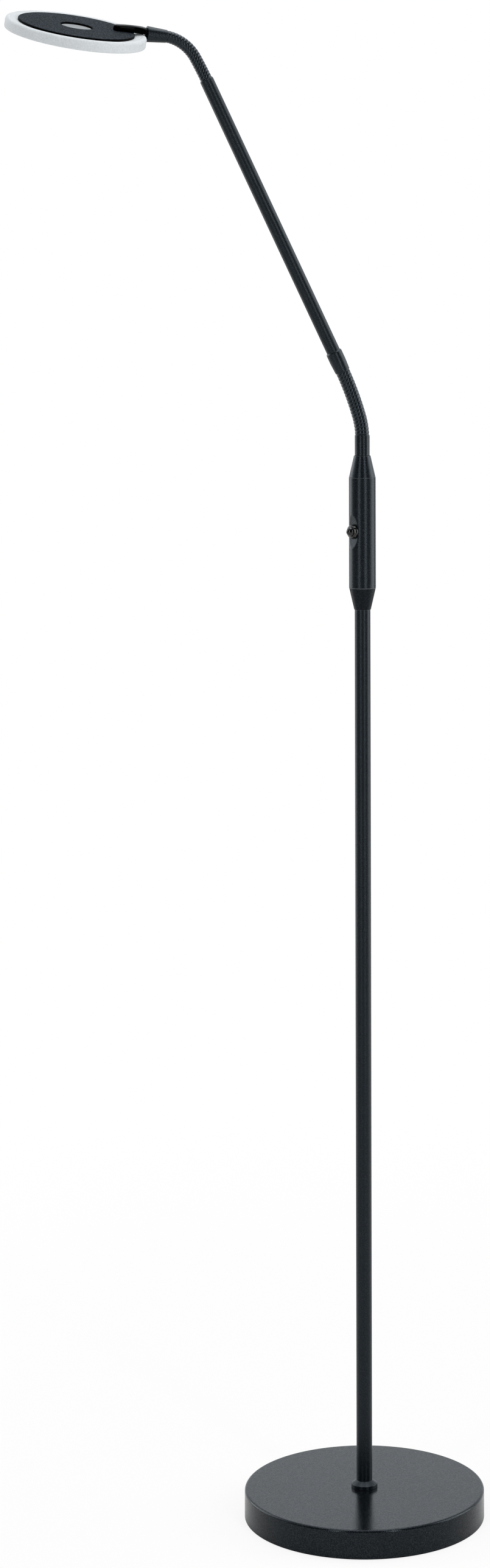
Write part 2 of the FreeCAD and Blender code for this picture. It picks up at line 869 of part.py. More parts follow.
def head_bracket():
    """The strap from the ferrule over the head's rim, tapering to a round tip on the cover."""
    beyond = 2 * bracket_radius
    under = Part.makePolygon([
        Vector(0, 0, bracket_root_top),
        Vector(0, 0, -bracket_radius),
        Vector(bracket_flange, 0, -bracket_radius),
        Vector(bracket_flange, 0, -bracket_root_chamfer),
        Vector(bracket_flange + bracket_root_chamfer, 0, 0),
        Vector(bracket_reach, 0, 0),
        Vector(bracket_reach, 0, bracket_tip_top),
    ])
    top = Part.Arc(Vector(bracket_reach, 0, bracket_tip_top),
                   Vector(bracket_crown_place, 0, bracket_crown_top),
                   Vector(0, 0, bracket_root_top)).toShape()
    outline = Part.Face(Part.Wire(under.Edges + [top]))
    outline.translate(Vector(0, -bracket_radius, 0))
    strap = outline.extrude(Vector(0, 2 * bracket_radius, 0))
    half = bracket_width / 2
    tip = bracket_tip()
    taper = bracket_taper_end
    corners = [(0, -bracket_radius), (taper, -half), (tip, -half), (tip, half),
               (taper, half), (0, bracket_radius), (0, -bracket_radius)]
    plan = Part.Face(Part.makePolygon([Vector(x, y, -beyond) for x, y in corners]))
    plan = plan.extrude(Vector(0, 0, 2 * beyond))
    plan = plan.fuse(Part.makeCylinder(half, 2 * beyond, Vector(tip, 0, -beyond)))
    strap = strap.common(plan).common(along_head(bracket_radius, 0, bracket_reach))
    shank_foot = head_socket_web - head_ferrule_length + fixed_gap
    strap = strap.fuse(along_head(bracket_shank_radius, shank_foot, 0)).removeSplitter()
    groove = along_head(wire_groove_radius, shank_foot, wire_hole_place + wire_groove_radius)
    seat = Part.makeCylinder(bracket_screw_cap_radius + fixed_gap, beyond,
                             Vector(tip, 0, bracket_screw_seat()))
    hole = Part.makeCylinder(bracket_screw_radius + fixed_gap, beyond, Vector(tip, 0, 0))
    return drilled(strap, [groove, seat, hole])


def bracket_screw_seat():
    """The height of the flat that the screw's cap sits on."""
    return bracket_tip_top - 2 * seam_chamfer


def bracket_screw():
    """The domed screw that holds the bracket's tip on the cover."""
    seat = bracket_screw_seat()
    foot = bracket_screw_foot()
    cap = bracket_screw_cap_radius
    top = seat + bracket_screw_cap
    edge = bracket_screw_cap / 2
    bend = edge * fillet_middle
    screw = turned([
        (0, foot),
        (bracket_screw_radius, foot),
        (bracket_screw_radius, seat),
        (cap, seat),
        (cap, top - edge),
        (cap - edge, top, cap - bend, top - bend),
        (0, top),
    ])
    screw.translate(Vector(bracket_tip(), 0, 0))
    return screw


def bracket_screw_foot():
    """The depth that the bracket's screw reaches in the cover."""
    return bracket_screw_floor - cover_thickness


def led_board_foot():
    """The height of the LED board's underside."""
    return -cover_thickness - led_board_thickness


def head_cover():
    """The black disc on top of the head, with its middle hole and its screw holes."""
    cover = turned([
        (cover_hole_radius, -cover_thickness),
        (cover_radius, -cover_thickness),
        (cover_radius, -cover_chamfer),
        (cover_radius - cover_chamfer, 0),
        (cover_hole_radius + cover_chamfer, 0),
        (cover_hole_radius, -cover_chamfer),
    ])
    holes = board_screw_shafts(fixed_gap)
    screw = rod(bracket_screw_radius + fixed_gap, bracket_screw_foot(), 0)
    screw.translate(Vector(bracket_tip() - head_centre_reach, 0, 0))
    wires = rod(wire_groove_radius, -cover_thickness, 0)
    wires.translate(Vector(wire_hole_place - head_centre_reach, 0, 0))
    cover = drilled(cover, holes + [screw, wires])
    return at_disc(cover)


def at_disc(shape):
    """A shape made about the disc's middle, in the frame of the lamp head."""
    return put(shape, Placement(Vector(head_centre_reach, 0, 0), Rotation()))


def board_screw_shafts(extra):
    """The shafts of the LED board's screws, or their holes."""
    top = -cover_thickness + board_screw_depth
    shaft = rod(board_screw_radius + extra, led_board_foot(), top)
    return on_circle(shaft, board_screw_circle, board_screw_count, board_screw_start)


def head_diffuser():
    """The frosted acrylic dish round and under the cover, with the boss in the cover's hole."""
    seat = -cover_thickness
    ledge = cover_radius - diffuser_ledge_width
    floor = -diffuser_depth + diffuser_floor
    lip = -diffuser_lip_drop
    boss = cover_hole_radius - boss_gap
    side = diffuser_radius
    top_edge = diffuser_top_edge
    top_bend = top_edge * fillet_middle
    bottom_edge = diffuser_bottom_edge
    bottom_bend = bottom_edge * fillet_middle
    return at_disc(turned([
        (0, -diffuser_depth),
        (side - bottom_edge, -diffuser_depth),
        (side, bottom_edge - diffuser_depth, side - bottom_bend, bottom_bend - diffuser_depth),
        (side, lip - top_edge),
        (side - top_edge, lip, side - top_bend, lip - top_bend),
        (side - top_edge - diffuser_lip_width, lip),
        (cover_radius + diffuser_rim_gap, seat),
        (ledge, seat),
        (ledge, floor),
        (boss, floor),
        (boss, -boss_drop),
        (0, -boss_drop),
    ]))


def led_board():
    """The ring-shaped board under the cover."""
    outer = cover_radius - diffuser_ledge_width - led_board_rim_gap
    board = ring(outer, led_board_inner_radius, led_board_foot(), -cover_thickness)
    return at_disc(drilled(board, board_screw_shafts(fixed_gap)))


def leds():
    """The LEDs on the board's underside, as separate solids."""
    led = block(led_size, led_size, led_height, (0, 0), led_board_foot() - led_height)
    return at_disc(Part.makeCompound(on_circle(led, led_circle, led_count)))


def board_screws():
    """The screws that hold the LED board under the cover."""
    shafts = board_screw_shafts(0)
    foot = led_board_foot()
    head = rod(board_screw_head_radius, foot - board_screw_head, foot)
    heads = on_circle(head, board_screw_circle, board_screw_count, board_screw_start)
    screws = []
    for shaft, cap in zip(shafts, heads):
        screws.append(shaft.fuse(cap))
    return at_disc(Part.makeCompound(screws))


def lamp():
    """Every piece of the lamp in its place, by name."""
    places = spine()
    pieces = {
        "base_pad": base_pad(),
        "base_plate": base_plate(),
        "plate_screws": plate_screws(),
        "base_weight": base_weight(),
        "base_shell": base_shell(),
        "base_nipple": base_nipple(),
        "base_washer": base_washer(),
        "base_nut": base_nut(),
        "base_collar": base_collar(),
        "cord_grommet": cord_grommet(),
        "cord_clamp": cord_clamp(),
        "clamp_screws": clamp_screws(),
        "pole_tube": pole_tube(),
        "pole_foot_bush": pole_foot_bush(),
        "supply_cable": supply_cable(),
        "handle_lower_cone": handle_lower_cone(),
        "handle_tube": handle_tube(),
        "handle_upper_cone": handle_upper_cone(),
        "driver_board": driver_board(),
        "driver_parts": driver_parts(),
        "switch_bezel": switch_bezel(),
        "switch_button": switch_button(),
        "switch_plunger": switch_plunger(),
        "switch_body": switch_body(),
        "handle_cable": handle_cable(),
        "lower_ferrule": lower_ferrule(),
        "arm_sleeve": put(arm_sleeve(), places["sleeve"]),
        "arm_tube": put(arm_tube(), places["sleeve"]),
        "arm_plug": put(arm_plug(), places["sleeve"]),
        "arm_cable": put(arm_cable(), places["sleeve"]),
        "head_ferrule": put(head_ferrule(), places["head"]),
    }
    for name, neck in (("lower", LOWER), ("upper", UPPER)):
        turn = neck_turn(neck)
        for k, place in enumerate(places[name + "_turns"], 1):
            pieces[f"{name}_turn_{k}"] = put(turn, place)
    head = head_frame(places["head"])
    for piece in (head_bracket, bracket_screw, head_cover, head_diffuser, led_board, leds,
                  board_screws):
        pieces[piece.__name__] = put(piece(), head)
    return pieces


def main():
    """Writes each piece to a STEP file of its own."""
    os.makedirs("parts", exist_ok=True)
    for name, shape in lamp().items():
        shape.exportStep(f"parts/{name}.step")


if __name__ == "__main__":
    main()
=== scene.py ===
import bmesh
import bpy
import json
import math
import numpy as np
from mathutils import Euler, Matrix, Vector


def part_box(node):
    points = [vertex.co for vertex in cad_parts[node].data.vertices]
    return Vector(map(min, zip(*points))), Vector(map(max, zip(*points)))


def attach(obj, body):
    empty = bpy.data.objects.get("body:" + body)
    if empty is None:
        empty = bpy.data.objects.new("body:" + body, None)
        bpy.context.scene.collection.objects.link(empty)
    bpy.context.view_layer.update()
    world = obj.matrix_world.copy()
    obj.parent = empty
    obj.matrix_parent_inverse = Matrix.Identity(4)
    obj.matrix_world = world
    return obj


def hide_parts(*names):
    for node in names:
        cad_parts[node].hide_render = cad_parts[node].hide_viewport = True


# Gooseneck reading floor lamp, in metres, round the construction's own pieces.

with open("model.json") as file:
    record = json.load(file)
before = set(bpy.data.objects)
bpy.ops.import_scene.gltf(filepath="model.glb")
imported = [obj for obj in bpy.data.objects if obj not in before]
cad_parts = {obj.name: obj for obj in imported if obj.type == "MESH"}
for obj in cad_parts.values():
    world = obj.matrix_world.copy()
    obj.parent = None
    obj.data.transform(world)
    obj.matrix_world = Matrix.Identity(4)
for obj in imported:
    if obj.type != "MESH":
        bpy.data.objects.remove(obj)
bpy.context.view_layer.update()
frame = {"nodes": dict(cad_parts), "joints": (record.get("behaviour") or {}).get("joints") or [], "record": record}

# Sizes that several pieces share
half_gap = 0.00065          # from a gooseneck's hinge to the faces beside it
seam_edge = 0.0003          # rounding of the edges at a seam
crease_degrees = 32         # faces that meet at more than this are shaded as a sharp edge
tube_wall = 0.0012
hidden_bore = 0.003         # of the turned pieces whose ends don't show
line_height = 0.00035       # of the pale line of painted highlight along an upper edge
line_depth = 0.001
line_setback = 0.00004      # from the highlight line to the surface over it
line_edge = 0.0001

# Base
base_top_edge = 0.0022
base_wall = 0.0015
inlet_height = 0.0105
inlet_hole_radius = 0.005
grommet_bore = 0.00315
grommet_side_gap = 0.00005
grommet_face_gap = 0.0003
collar_band = 0.0036

# Handle and switch
cone_small_radius = 0.008
grip_wall = 0.003
switch_azimuth = math.radians(201)
switch_above_grip_foot = 0.0544
scoop_depth = 0.00207
scoop_radius = 0.062
scoop_softness = 0.00022    # how far the scoop's edge is rounded
bezel_foot_radius = 0.0069
bezel_front_radius = 0.0059
bezel_height = 0.004
bezel_cone_foot = 0.0016    # height of the ring's upright foot
bezel_shank = 0.002         # how far the ring reaches into the grip
bezel_gap = 0.0001
bezel_bore_radius = 0.00476
bezel_hole_radius = 0.0057
button_radius = 0.0047
button_rim = 0.0004
button_dome = 0.0038
button_depth = 0.0045
dome_foot = 0.06            # share of the dome's height at its foot

# Goosenecks: root radius and ridge radius
neck_radii = {"lower": (0.0064, 0.0068), "upper": (0.0054, 0.0058)}
ridge_fullness = 0.6        # lower makes the ridges broader and the grooves narrower
turns_per_neck = 9
rows_per_ridge = 20
hose_sectors = 72
ball_gap = 0.0001           # from a hose piece's ball end to the groove round it

# Sleeve and arm
sleeve_foot_radius = 0.0072
sleeve_radius = 0.00775
sleeve_length = 0.0215
sleeve_shoulder = 0.0014
arm_radius = 0.0066
arm_visible_length = 0.2875

# Head ferrule and bracket
head_ferrule_length = 0.0196
head_ferrule_radius = 0.0061
head_ferrule_end_radius = 0.0077
head_roll = math.radians(15.3)
bracket_root_radius = 0.0071
bracket_flange = 0.0005
bracket_reach = 0.0326
bracket_half_width = 0.0048
bracket_taper_end = 0.014
bracket_root_top = 0.0057
bracket_crown_top = 0.0064
bracket_tip_top = 0.005
cap_radius = 0.0039
cap_height = 0.0006

# Lamp head
head_centre_reach = 0.0677
cover_radius = 0.0552
cover_thickness = 0.0023
cover_hole_radius = 0.0152
cover_edge = 0.00035
shade_band_width = 0.0004          # of the black band of painted shade on each of the disc's round walls
rim_top = -0.0003
dish_radius = 0.0669
dish_depth = 0.011
dish_floor = 0.0025
dish_lip_drop = 0.0006
dish_lip_width = 0.0015
dish_top_edge = 0.003
dish_bottom_edge = 0.0015
dish_rim_gap = 0.0006
dish_ledge = 0.0029
boss_gap = 0.0003
boss_drop = 0.0019


# Surfaces

def added(name, data):
    """A new object in the scene, with this mesh, lamp or camera as its data."""
    made = bpy.data.objects.new(name, data)
    bpy.context.scene.collection.objects.link(made)
    return made


def rounded(corners, steps=6):
    """The points of an outline whose corners are rounded.

    A corner is (radius, height, fillet). Its fillet f touches both runs at f / tan(a) from the
    corner, a being half the angle between them, and its middle is f / sin(a) away. The points of
    the straight line between the two touching points, pushed out to the distance f from the
    middle, make the arc. One more point on each run keeps the run's shading flat."""
    points = []
    for k, (radius, height, fillet) in enumerate(corners):
        here = np.array([radius, height])
        if not fillet:
            points.append(here[None])
            continue
        before = np.array(corners[k - 1][:2]) - here
        after = np.array(corners[(k + 1) % len(corners)][:2]) - here
        u = before / np.linalg.norm(before)
        v = after / np.linalg.norm(after)
        half = 0.5 * math.acos(np.clip(u @ v, -1, 1))
        touch = fillet / math.tan(half)
        middle = here + (u + v) / np.linalg.norm(u + v) * fillet / math.sin(half)
        t = np.linspace(0, 1, steps + 1)[:, None]
        spoke = here + touch * ((1 - t) * u + t * v) - middle
        arc = middle + fillet * spoke / np.linalg.norm(spoke, axis=1)[:, None]
        hold = touch + 0.5 * fillet
        points += [(here + hold * u)[None], arc, (here + hold * v)[None]]
    return np.vstack(points)


def surface(name, grid, place=Matrix(), loop=False, crease=crease_degrees):
    """A closed mesh over a grid of points of the shape (rows, columns, 3).

    Each cell between neighbouring rows and columns is a face. The columns join round, and so do
    the rows if loop is true. A row that lies in one point becomes a pole."""
    rows, columns = grid.shape[:2]
    index = np.arange(rows * columns).reshape(rows, columns)
    if loop:
        index = np.vstack([index, index[:1]])
    beside = np.roll(index, -1, axis=1)
    faces = np.stack([index[:-1], beside[:-1], beside[1:], index[1:]], axis=-1).reshape(-1, 4)
    turn = np.array(place.to_3x3())
    points = grid.reshape(-1, 3) @ turn.T + np.array(place.translation)
    mesh = bpy.data.meshes.new(name)
    mesh.from_pydata(points.tolist(), [], faces.tolist())
    work = bmesh.new()
    work.from_mesh(mesh)
    bmesh.ops.remove_doubles(work, verts=work.verts, dist=1e-7)
    bmesh.ops.recalc_face_normals(work, faces=work.faces)
    work.to_mesh(mesh)
    work.free()
    mesh.shade_smooth()
    mesh.set_sharp_from_angle(angle=math.radians(crease))
    return added(name, mesh)


def turned(name, outline, place=Matrix(), sectors=96, reshape=None):
    """A surface turned about Z: the outline's point (r, z) goes to (r cos a, r sin a, z).

    reshape changes the radii, given as a grid over the outline and the angle a. An outline that
    starts on the axis is closed by its poles, and any other by itself."""
    a = np.linspace(0, 2 * np.pi, sectors, endpoint=False)
    r = outline[:, :1] + 0 * a
    z = outline[:, 1:] + 0 * a
    if reshape:
        r = reshape(r, a, z)
    grid = np.stack([r * np.cos(a), r * np.sin(a), z], axis=-1)
    made = surface(name, grid, place, loop=outline[0, 0] > 0)
    points = np.empty(3 * len(made.data.vertices))
    made.data.vertices.foreach_get("co", points)
    back = np.array(place.inverted())
    local = points.reshape(-1, 3) @ back[:3, :3].T + back[:3, 3]
    kept = made.data.attributes.new("from_axis", "FLOAT", "POINT")
    kept.data.foreach_set("value", np.hypot(local[:, 0], local[:, 1]))
    return made


def drilled(made, name, radius, length, place):
    """Cuts a round hole into a piece, from a place along its Z axis."""
    cutter = turned(name, np.array([(0, 0), (radius, 0), (radius, length), (0, length)]), place,
                    sectors=48)
    step = made.modifiers.new("cut", "BOOLEAN")
    step.operation = "DIFFERENCE"
    step.solver = "EXACT"
    step.object = cutter
    graph = bpy.context.evaluated_depsgraph_get()
    mesh = bpy.data.meshes.new_from_object(made.evaluated_get(graph))
    made.modifiers.clear()
    made.data = mesh
    mesh.shade_smooth()
    mesh.set_sharp_from_angle(angle=math.radians(crease_degrees))
    bpy.data.objects.remove(cutter)
    return made


# Places along the lamp, from the construction's boxes and hinges

def lean_of(a, b):
    """How far the line from a to b leans over towards -X, in radians."""
    return math.atan2(a.x - b.x, b.z - a.z)


def leaning(origin, lean):
    """The place at a point whose Z axis leans over towards -X."""
    return Matrix.Translation(origin) @ Matrix.Rotation(-lean, 4, "Y")


def along(place, distance):
    """The place moved along its own Z axis."""
    return place @ Matrix.Translation((0, 0, distance))


hinges = {j["child"]: Vector(j["pos_m"]) for j in frame["joints"] if j["type"] == "hinge"}
chains = {}
for neck, first, last in (("lower", "stand", "arm"), ("upper", "arm", "head")):
    chains[neck] = [first] + [f"{neck}_turn_{k + 1}" for k in range(turns_per_neck)] + [last]

pole_low, pole_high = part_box("pole_tube")
grip_low, grip_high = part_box("handle_tube")
pole_radius = pole_high.x
grip_radius = grip_high.y
cone_height = grip_low.z - pole_high.z
ferrule_foot = grip_high.z + cone_height
ferrule_top = hinges["lower_turn_1"].z - half_gap
ferrule_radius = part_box("lower_ferrule")[1].x
switch_height = grip_low.z + switch_above_grip_foot
scoop_floor = grip_radius - scoop_depth

arm_lean = lean_of(hinges["arm"], hinges["upper_turn_1"])
sleeve_place = along(leaning(hinges["arm"], arm_lean), half_gap)
late_leans = []
for k in (turns_per_neck - 1, turns_per_neck):
    after = chains["upper"][k + 1]
    late_leans.append(lean_of(hinges[f"upper_turn_{k}"], hinges[after]))
head_lean = 2 * late_leans[1] - late_leans[0]
head_ferrule_place = along(leaning(hinges["head"], head_lean), half_gap)
head_axes = Matrix(((0, 0, 1, 0), (0, -1, 0, 0), (1, 0, 0, 0), (0, 0, 0, 1)))
head_place = (along(head_ferrule_place, head_ferrule_length)
              @ Matrix.Rotation(-head_roll, 4, "Z") @ head_axes)
disc_place = head_place @ Matrix.Translation((head_centre_reach, 0, 0))
turned_to_x = Matrix.Rotation(math.pi / 2, 4, "Y")
inlet_place = Matrix.Translation((0, 0, inlet_height)) @ turned_to_x
switch_place = (Matrix.Translation((0, 0, switch_height))
                @ Matrix.Rotation(switch_azimuth, 4, "Z") @ turned_to_x)


# Base

def base_cover():
    """The pressed cover: a disc with a rounded upper edge, turned, and the cord inlet's hole."""
    low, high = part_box("base_shell")
    radius = high.x
    inner = radius - base_wall
    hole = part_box("base_nipple")[1].x
    outline = rounded([
        (inner, low.z, seam_edge),
        (radius, low.z, seam_edge),
        (radius, high.z, base_top_edge),
        (hole, high.z, 0),
        (hole, high.z - base_wall, 0),
        (inner, high.z - base_wall, base_top_edge - base_wall),
    ], steps=8)
    cover = turned("base_cover", outline, sectors=288)
    return drilled(cover, "inlet_cutter", inlet_hole_radius, 2 * radius, inlet_place)


def inlet_grommet():
    """The rubber grommet of the cord inlet, turned about an axis along X."""
    low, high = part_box("cord_grommet")
    flange = high.y
    barrel = inlet_hole_radius - grommet_side_gap
    wall_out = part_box("base_shell")[1].x
    wall_in = wall_out - base_wall - grommet_face_gap
    outline = rounded([
        (grommet_bore, low.x, 0.0005),
        (flange, low.x, 0.0006),
        (flange, wall_in, 0.0002),
        (barrel, wall_in, 0),
        (barrel, wall_out, 0),
        (flange, wall_out, 0.0002),
        (flange, high.x, 0.0009),
        (grommet_bore, high.x, 0.0007),
    ])
    return turned("inlet_grommet", outline, inlet_place, sectors=64)


def foot_collar():
    """The turned collar at the pole's foot: a band under a shallow cone."""
    low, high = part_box("base_collar")
    band_top = low.z + collar_band
    return turned("foot_collar", rounded([
        (pole_radius, low.z, 0),
        (high.x, low.z, seam_edge),
        (high.x, band_top, 0.0005),
        (pole_radius, high.z, 0),
    ]), sectors=128)


# Pole, handle and switch

def plain_tube(name, radius, bottom, top, place=Matrix()):
    """A round tube with softened ends."""
    return turned(name, rounded([
        (radius - tube_wall, bottom, 0),
        (radius, bottom, seam_edge),
        (radius, top, seam_edge),
        (radius - tube_wall, top, 0),
    ]), place)


def highlight_line(name, radius, top):
    """A thin pale line of painted highlight along a turned piece's upper edge."""
    return turned(name, rounded([
        (radius - line_depth, top - line_height, 0),
        (radius - line_setback, top - line_height, line_edge),
        (radius - line_setback, top, line_edge),
        (radius - line_depth, top, 0),
    ]), sectors=128)


def cone(name, bottom, top, radius_bottom, radius_top):
    """A turned cone with softened ends, hollow as a ring."""
    core = 0.5 * min(radius_bottom, radius_top)
    return turned(name, rounded([
        (core, bottom, 0),
        (radius_bottom, bottom, seam_edge),
        (radius_top, top, seam_edge),
        (core, top, 0),
    ]), sectors=128)


def grip_tube():
    """The hand grip: a tube with a shallow scoop milled across it at the push button.

    Seen along the switch's axis the scoop's floor lies d(z) = F + S - sqrt(S^2 - z^2) out, with
    the floor F at its middle and the milling cutter's radius S. On the tube's angle a from that
    axis the scoop is d / cos a away from the tube's axis. The radius is the smaller of the tube's
    and the scoop's, rounded where they meet: (R + q - sqrt((R - q)^2 + e^2)) / 2."""
    reach = math.sqrt(scoop_radius ** 2 - (scoop_radius - scoop_depth) ** 2) * 1.1

    def scooped(r, a, z):
        height = np.clip(z - switch_height, -reach, reach)
        away = scoop_floor + scoop_radius - np.sqrt(scoop_radius ** 2 - height ** 2)
        across = np.cos(a - switch_azimuth)
        scoop = np.where(across > 0.3, away / np.maximum(across, 0.3), 2 * grip_radius)
        soft = 0.5 * (r + scoop - np.sqrt((r - scoop) ** 2 + scoop_softness ** 2))
        return np.where(r > scoop_floor, soft, r)

    ends = rounded([
        (grip_radius - grip_wall, grip_low.z, 0),
        (grip_radius, grip_low.z, seam_edge),
        (grip_radius, grip_high.z, seam_edge),
        (grip_radius - grip_wall, grip_high.z, 0),
    ])
    upper = ends[:, 1] > 0.5 * (grip_low.z + grip_high.z)
    rows = np.linspace(switch_height - reach, switch_height + reach, 121)
    wall_rows = np.stack([np.full_like(rows, grip_radius), rows], axis=1)
    outline = np.vstack([ends[~upper], wall_rows, ends[upper]])
    grip = turned("grip_tube", outline, sectors=224, reshape=scooped)
    return drilled(grip, "switch_cutter", bezel_hole_radius, 2 * grip_radius, switch_place)


def switch_bezel():
    """The glossy coned ring round the push button, turned about the switch's axis."""
    front = scoop_floor + bezel_height
    foot = scoop_floor - bezel_gap
    shank = bezel_hole_radius - bezel_gap
    return turned("switch_bezel", rounded([
        (bezel_bore_radius, scoop_floor - bezel_shank, 0),
        (shank, scoop_floor - bezel_shank, 0),
        (shank, foot, 0),
        (bezel_foot_radius, foot, 0.0001),
        (bezel_foot_radius, scoop_floor + bezel_cone_foot, 0.0014),
        (bezel_front_radius, front, 0.001),
        (bezel_bore_radius, front, 0.00015),
    ]), switch_place, sectors=96)


def button_cap():
    """The glossy domed push button. Over its radius r the dome is h (1 - (r / R)^2) high."""
    edge = scoop_floor + bezel_height + button_rim
    share = np.linspace(0.94, 0, 14)
    dome = np.stack([button_radius * share, edge + button_dome * (1 - share ** 2)], axis=1)
    wall = rounded([
        (0, edge - button_depth, 0),
        (button_radius, edge - button_depth, seam_edge),
        (button_radius, edge + dome_foot * button_dome, 0.00025),
        (0, edge + 0.1 * button_dome, 0),
    ])[:-2]
    return turned("button_cap", np.vstack([wall, dome]), switch_place, sectors=96)


def neck_ferrule():
    """The ferrule between the handle's upper cone and the lower gooseneck."""
    return turned("neck_ferrule", rounded([
        (hidden_bore, ferrule_foot, 0),
        (ferrule_radius, ferrule_foot, 0.0004),
        (ferrule_radius, ferrule_top, 0.0007),
        (hidden_bore, ferrule_top, 0),
    ]), sectors=128)


# Goosenecks

def neck_line(neck, k):
    """The middle line of a neck past one hinge, as lengths, points and tangents.

    It is (1 - t)^2 A + 2 t (1 - t) H + t^2 B, from the middle A of one turn to the middle B of
    the next, with the hinge H as its corner. At a neck's two ends A or B is on the face of the
    piece that holds it instead. The length is 0 beside the hinge."""
    bodies = chains[neck]
    before, after = bodies[k], bodies[k + 1]
    hinge = hinges[after]
    if k > 0:
        start = 0.5 * (hinges[before] + hinge)
    elif neck == "lower":
        start = hinge - Vector((0, 0, half_gap))
    else:
        start = along(leaning(hinge, arm_lean), -half_gap).translation
    if k < turns_per_neck:
        end = 0.5 * (hinge + hinges[bodies[k + 2]])
    else:
        end = (sleeve_place if neck == "lower" else head_ferrule_place).translation
    a, h, b = (np.array(p) for p in (start, hinge, end))
    t = np.linspace(0, 1, 401)[:, None]
    line = (1 - t) ** 2 * a + 2 * t * (1 - t) * h + t ** 2 * b
    tangent = (1 - t) * (h - a) + t * (b - h)
    tangent /= np.linalg.norm(tangent, axis=1)[:, None]
    step = np.linalg.norm(np.diff(line, axis=0), axis=1)
    length = np.concatenate([[0], np.cumsum(step)])
    at_hinge = np.linalg.norm(h - a) / (np.linalg.norm(h - a) + np.linalg.norm(b - h))
    return length - length[-1] * at_hinge, line, tangent


def hose_piece(neck, k):
    """The closed piece of ridged hose that a body carries, from its lower hinge to its upper one.

    At the length s past a hinge the radius is root + rise |sin(pi s / p)|^n, with a ridge between
    every two grooves, p apart. The lower end is flat, and so is the last piece's upper end. Any
    other upper end is a half ball round the hinge, a little smaller than the groove and slightly
    pointed at its pole, which fills the gap when the neck bends."""
    bodies = chains[neck]
    pitch = 0.5 * (hinges[bodies[2]] - hinges[bodies[1]]).length
    root, ridge = neck_radii[neck]
    centres, tangents, radii = [], [], []
    halves = ([(k - 1, 1)] if k > 0 else []) + ([(k, -1)] if k <= turns_per_neck else [])
    for hinge, side in halves:
        length, line, tangent = neck_line(neck, hinge)
        far = length[-1] if side > 0 else length[0]
        s = np.linspace(min(far, 0), max(far, 0), 1 + round(rows_per_ridge * abs(far) / pitch))
        if side < 0 and k > 0:
            s = s[1:]
        wave = np.abs(np.sin(np.pi * s / pitch)) ** ridge_fullness
        centres.append(np.stack([np.interp(s, length, c) for c in line.T], axis=1))
        tangents.append(np.stack([np.interp(s, length, c) for c in tangent.T], axis=1))
        radii.append(root + (ridge - root) * wave)
    if k <= turns_per_neck:
        turn = np.linspace(0, np.pi / 2, 10)[:-1, None]
        ball = root - ball_gap
        centres.append(centres[-1][-1] + ball * np.sin(turn) * tangents[-1][-1])
        tangents.append(np.repeat(tangents[-1][-1:], len(turn), axis=0))
        radii.append(ball * np.cos(turn[:, 0]))
    line, tangent, radius = (np.concatenate(part) for part in (centres, tangents, radii))
    sideways = np.stack([tangent[:, 2], 0 * radius, -tangent[:, 0]], axis=1)
    angle = np.linspace(0, 2 * np.pi, hose_sectors, endpoint=False)[None, :, None]
    out = np.cos(angle) * sideways[:, None] + np.sin(angle) * np.array([0, 1, 0])
    grid = line[:, None] + radius[:, None, None] * out
    tip = line[-1] + radius[-1] * tangent[-1] * (k <= turns_per_neck)
    caps = [np.broadcast_to(p, grid[:1].shape) for p in (line[0], tip)]
    return surface(f"{neck}_hose_{k}", np.vstack([caps[0], grid, caps[1]]))


# Sleeve, arm and head ferrule

def arm_sleeve():
    """The sleeve over the lower gooseneck, wider towards the arm, with a coned shoulder."""
    return turned("sleeve", rounded([
        (hidden_bore, 0, 0),
        (sleeve_foot_radius, 0, 0.0006),
        (sleeve_radius, 0.5 * sleeve_length, 0.004),
        (sleeve_radius, sleeve_length - sleeve_shoulder, 0.0006),
        (arm_radius, sleeve_length, 0),
        (hidden_bore, sleeve_length, 0),
    ]), sleeve_place, sectors=128)


def arm_tube():
    """The straight tube of the arm."""
    return plain_tube("arm", arm_radius, sleeve_length - 0.004,
                      sleeve_length + arm_visible_length, sleeve_place)


def head_ferrule():
    """The ferrule at the head, wider towards the bracket."""
    return turned("ferrule_at_head", rounded([
        (hidden_bore, 0, 0),
        (head_ferrule_radius, 0, 0.0004),
        (head_ferrule_end_radius, head_ferrule_length, 0.0006),
        (hidden_bore, head_ferrule_length, 0),
    ]), head_ferrule_place, sectors=128)


# Bracket and lamp head

def smooth(x, low, high):
    """0 below low, 1 above high, and 3 t^2 - 2 t^3 between them."""
    t = np.clip((x - low) / (high - low), 0, 1)
    return t * t * (3 - 2 * t)


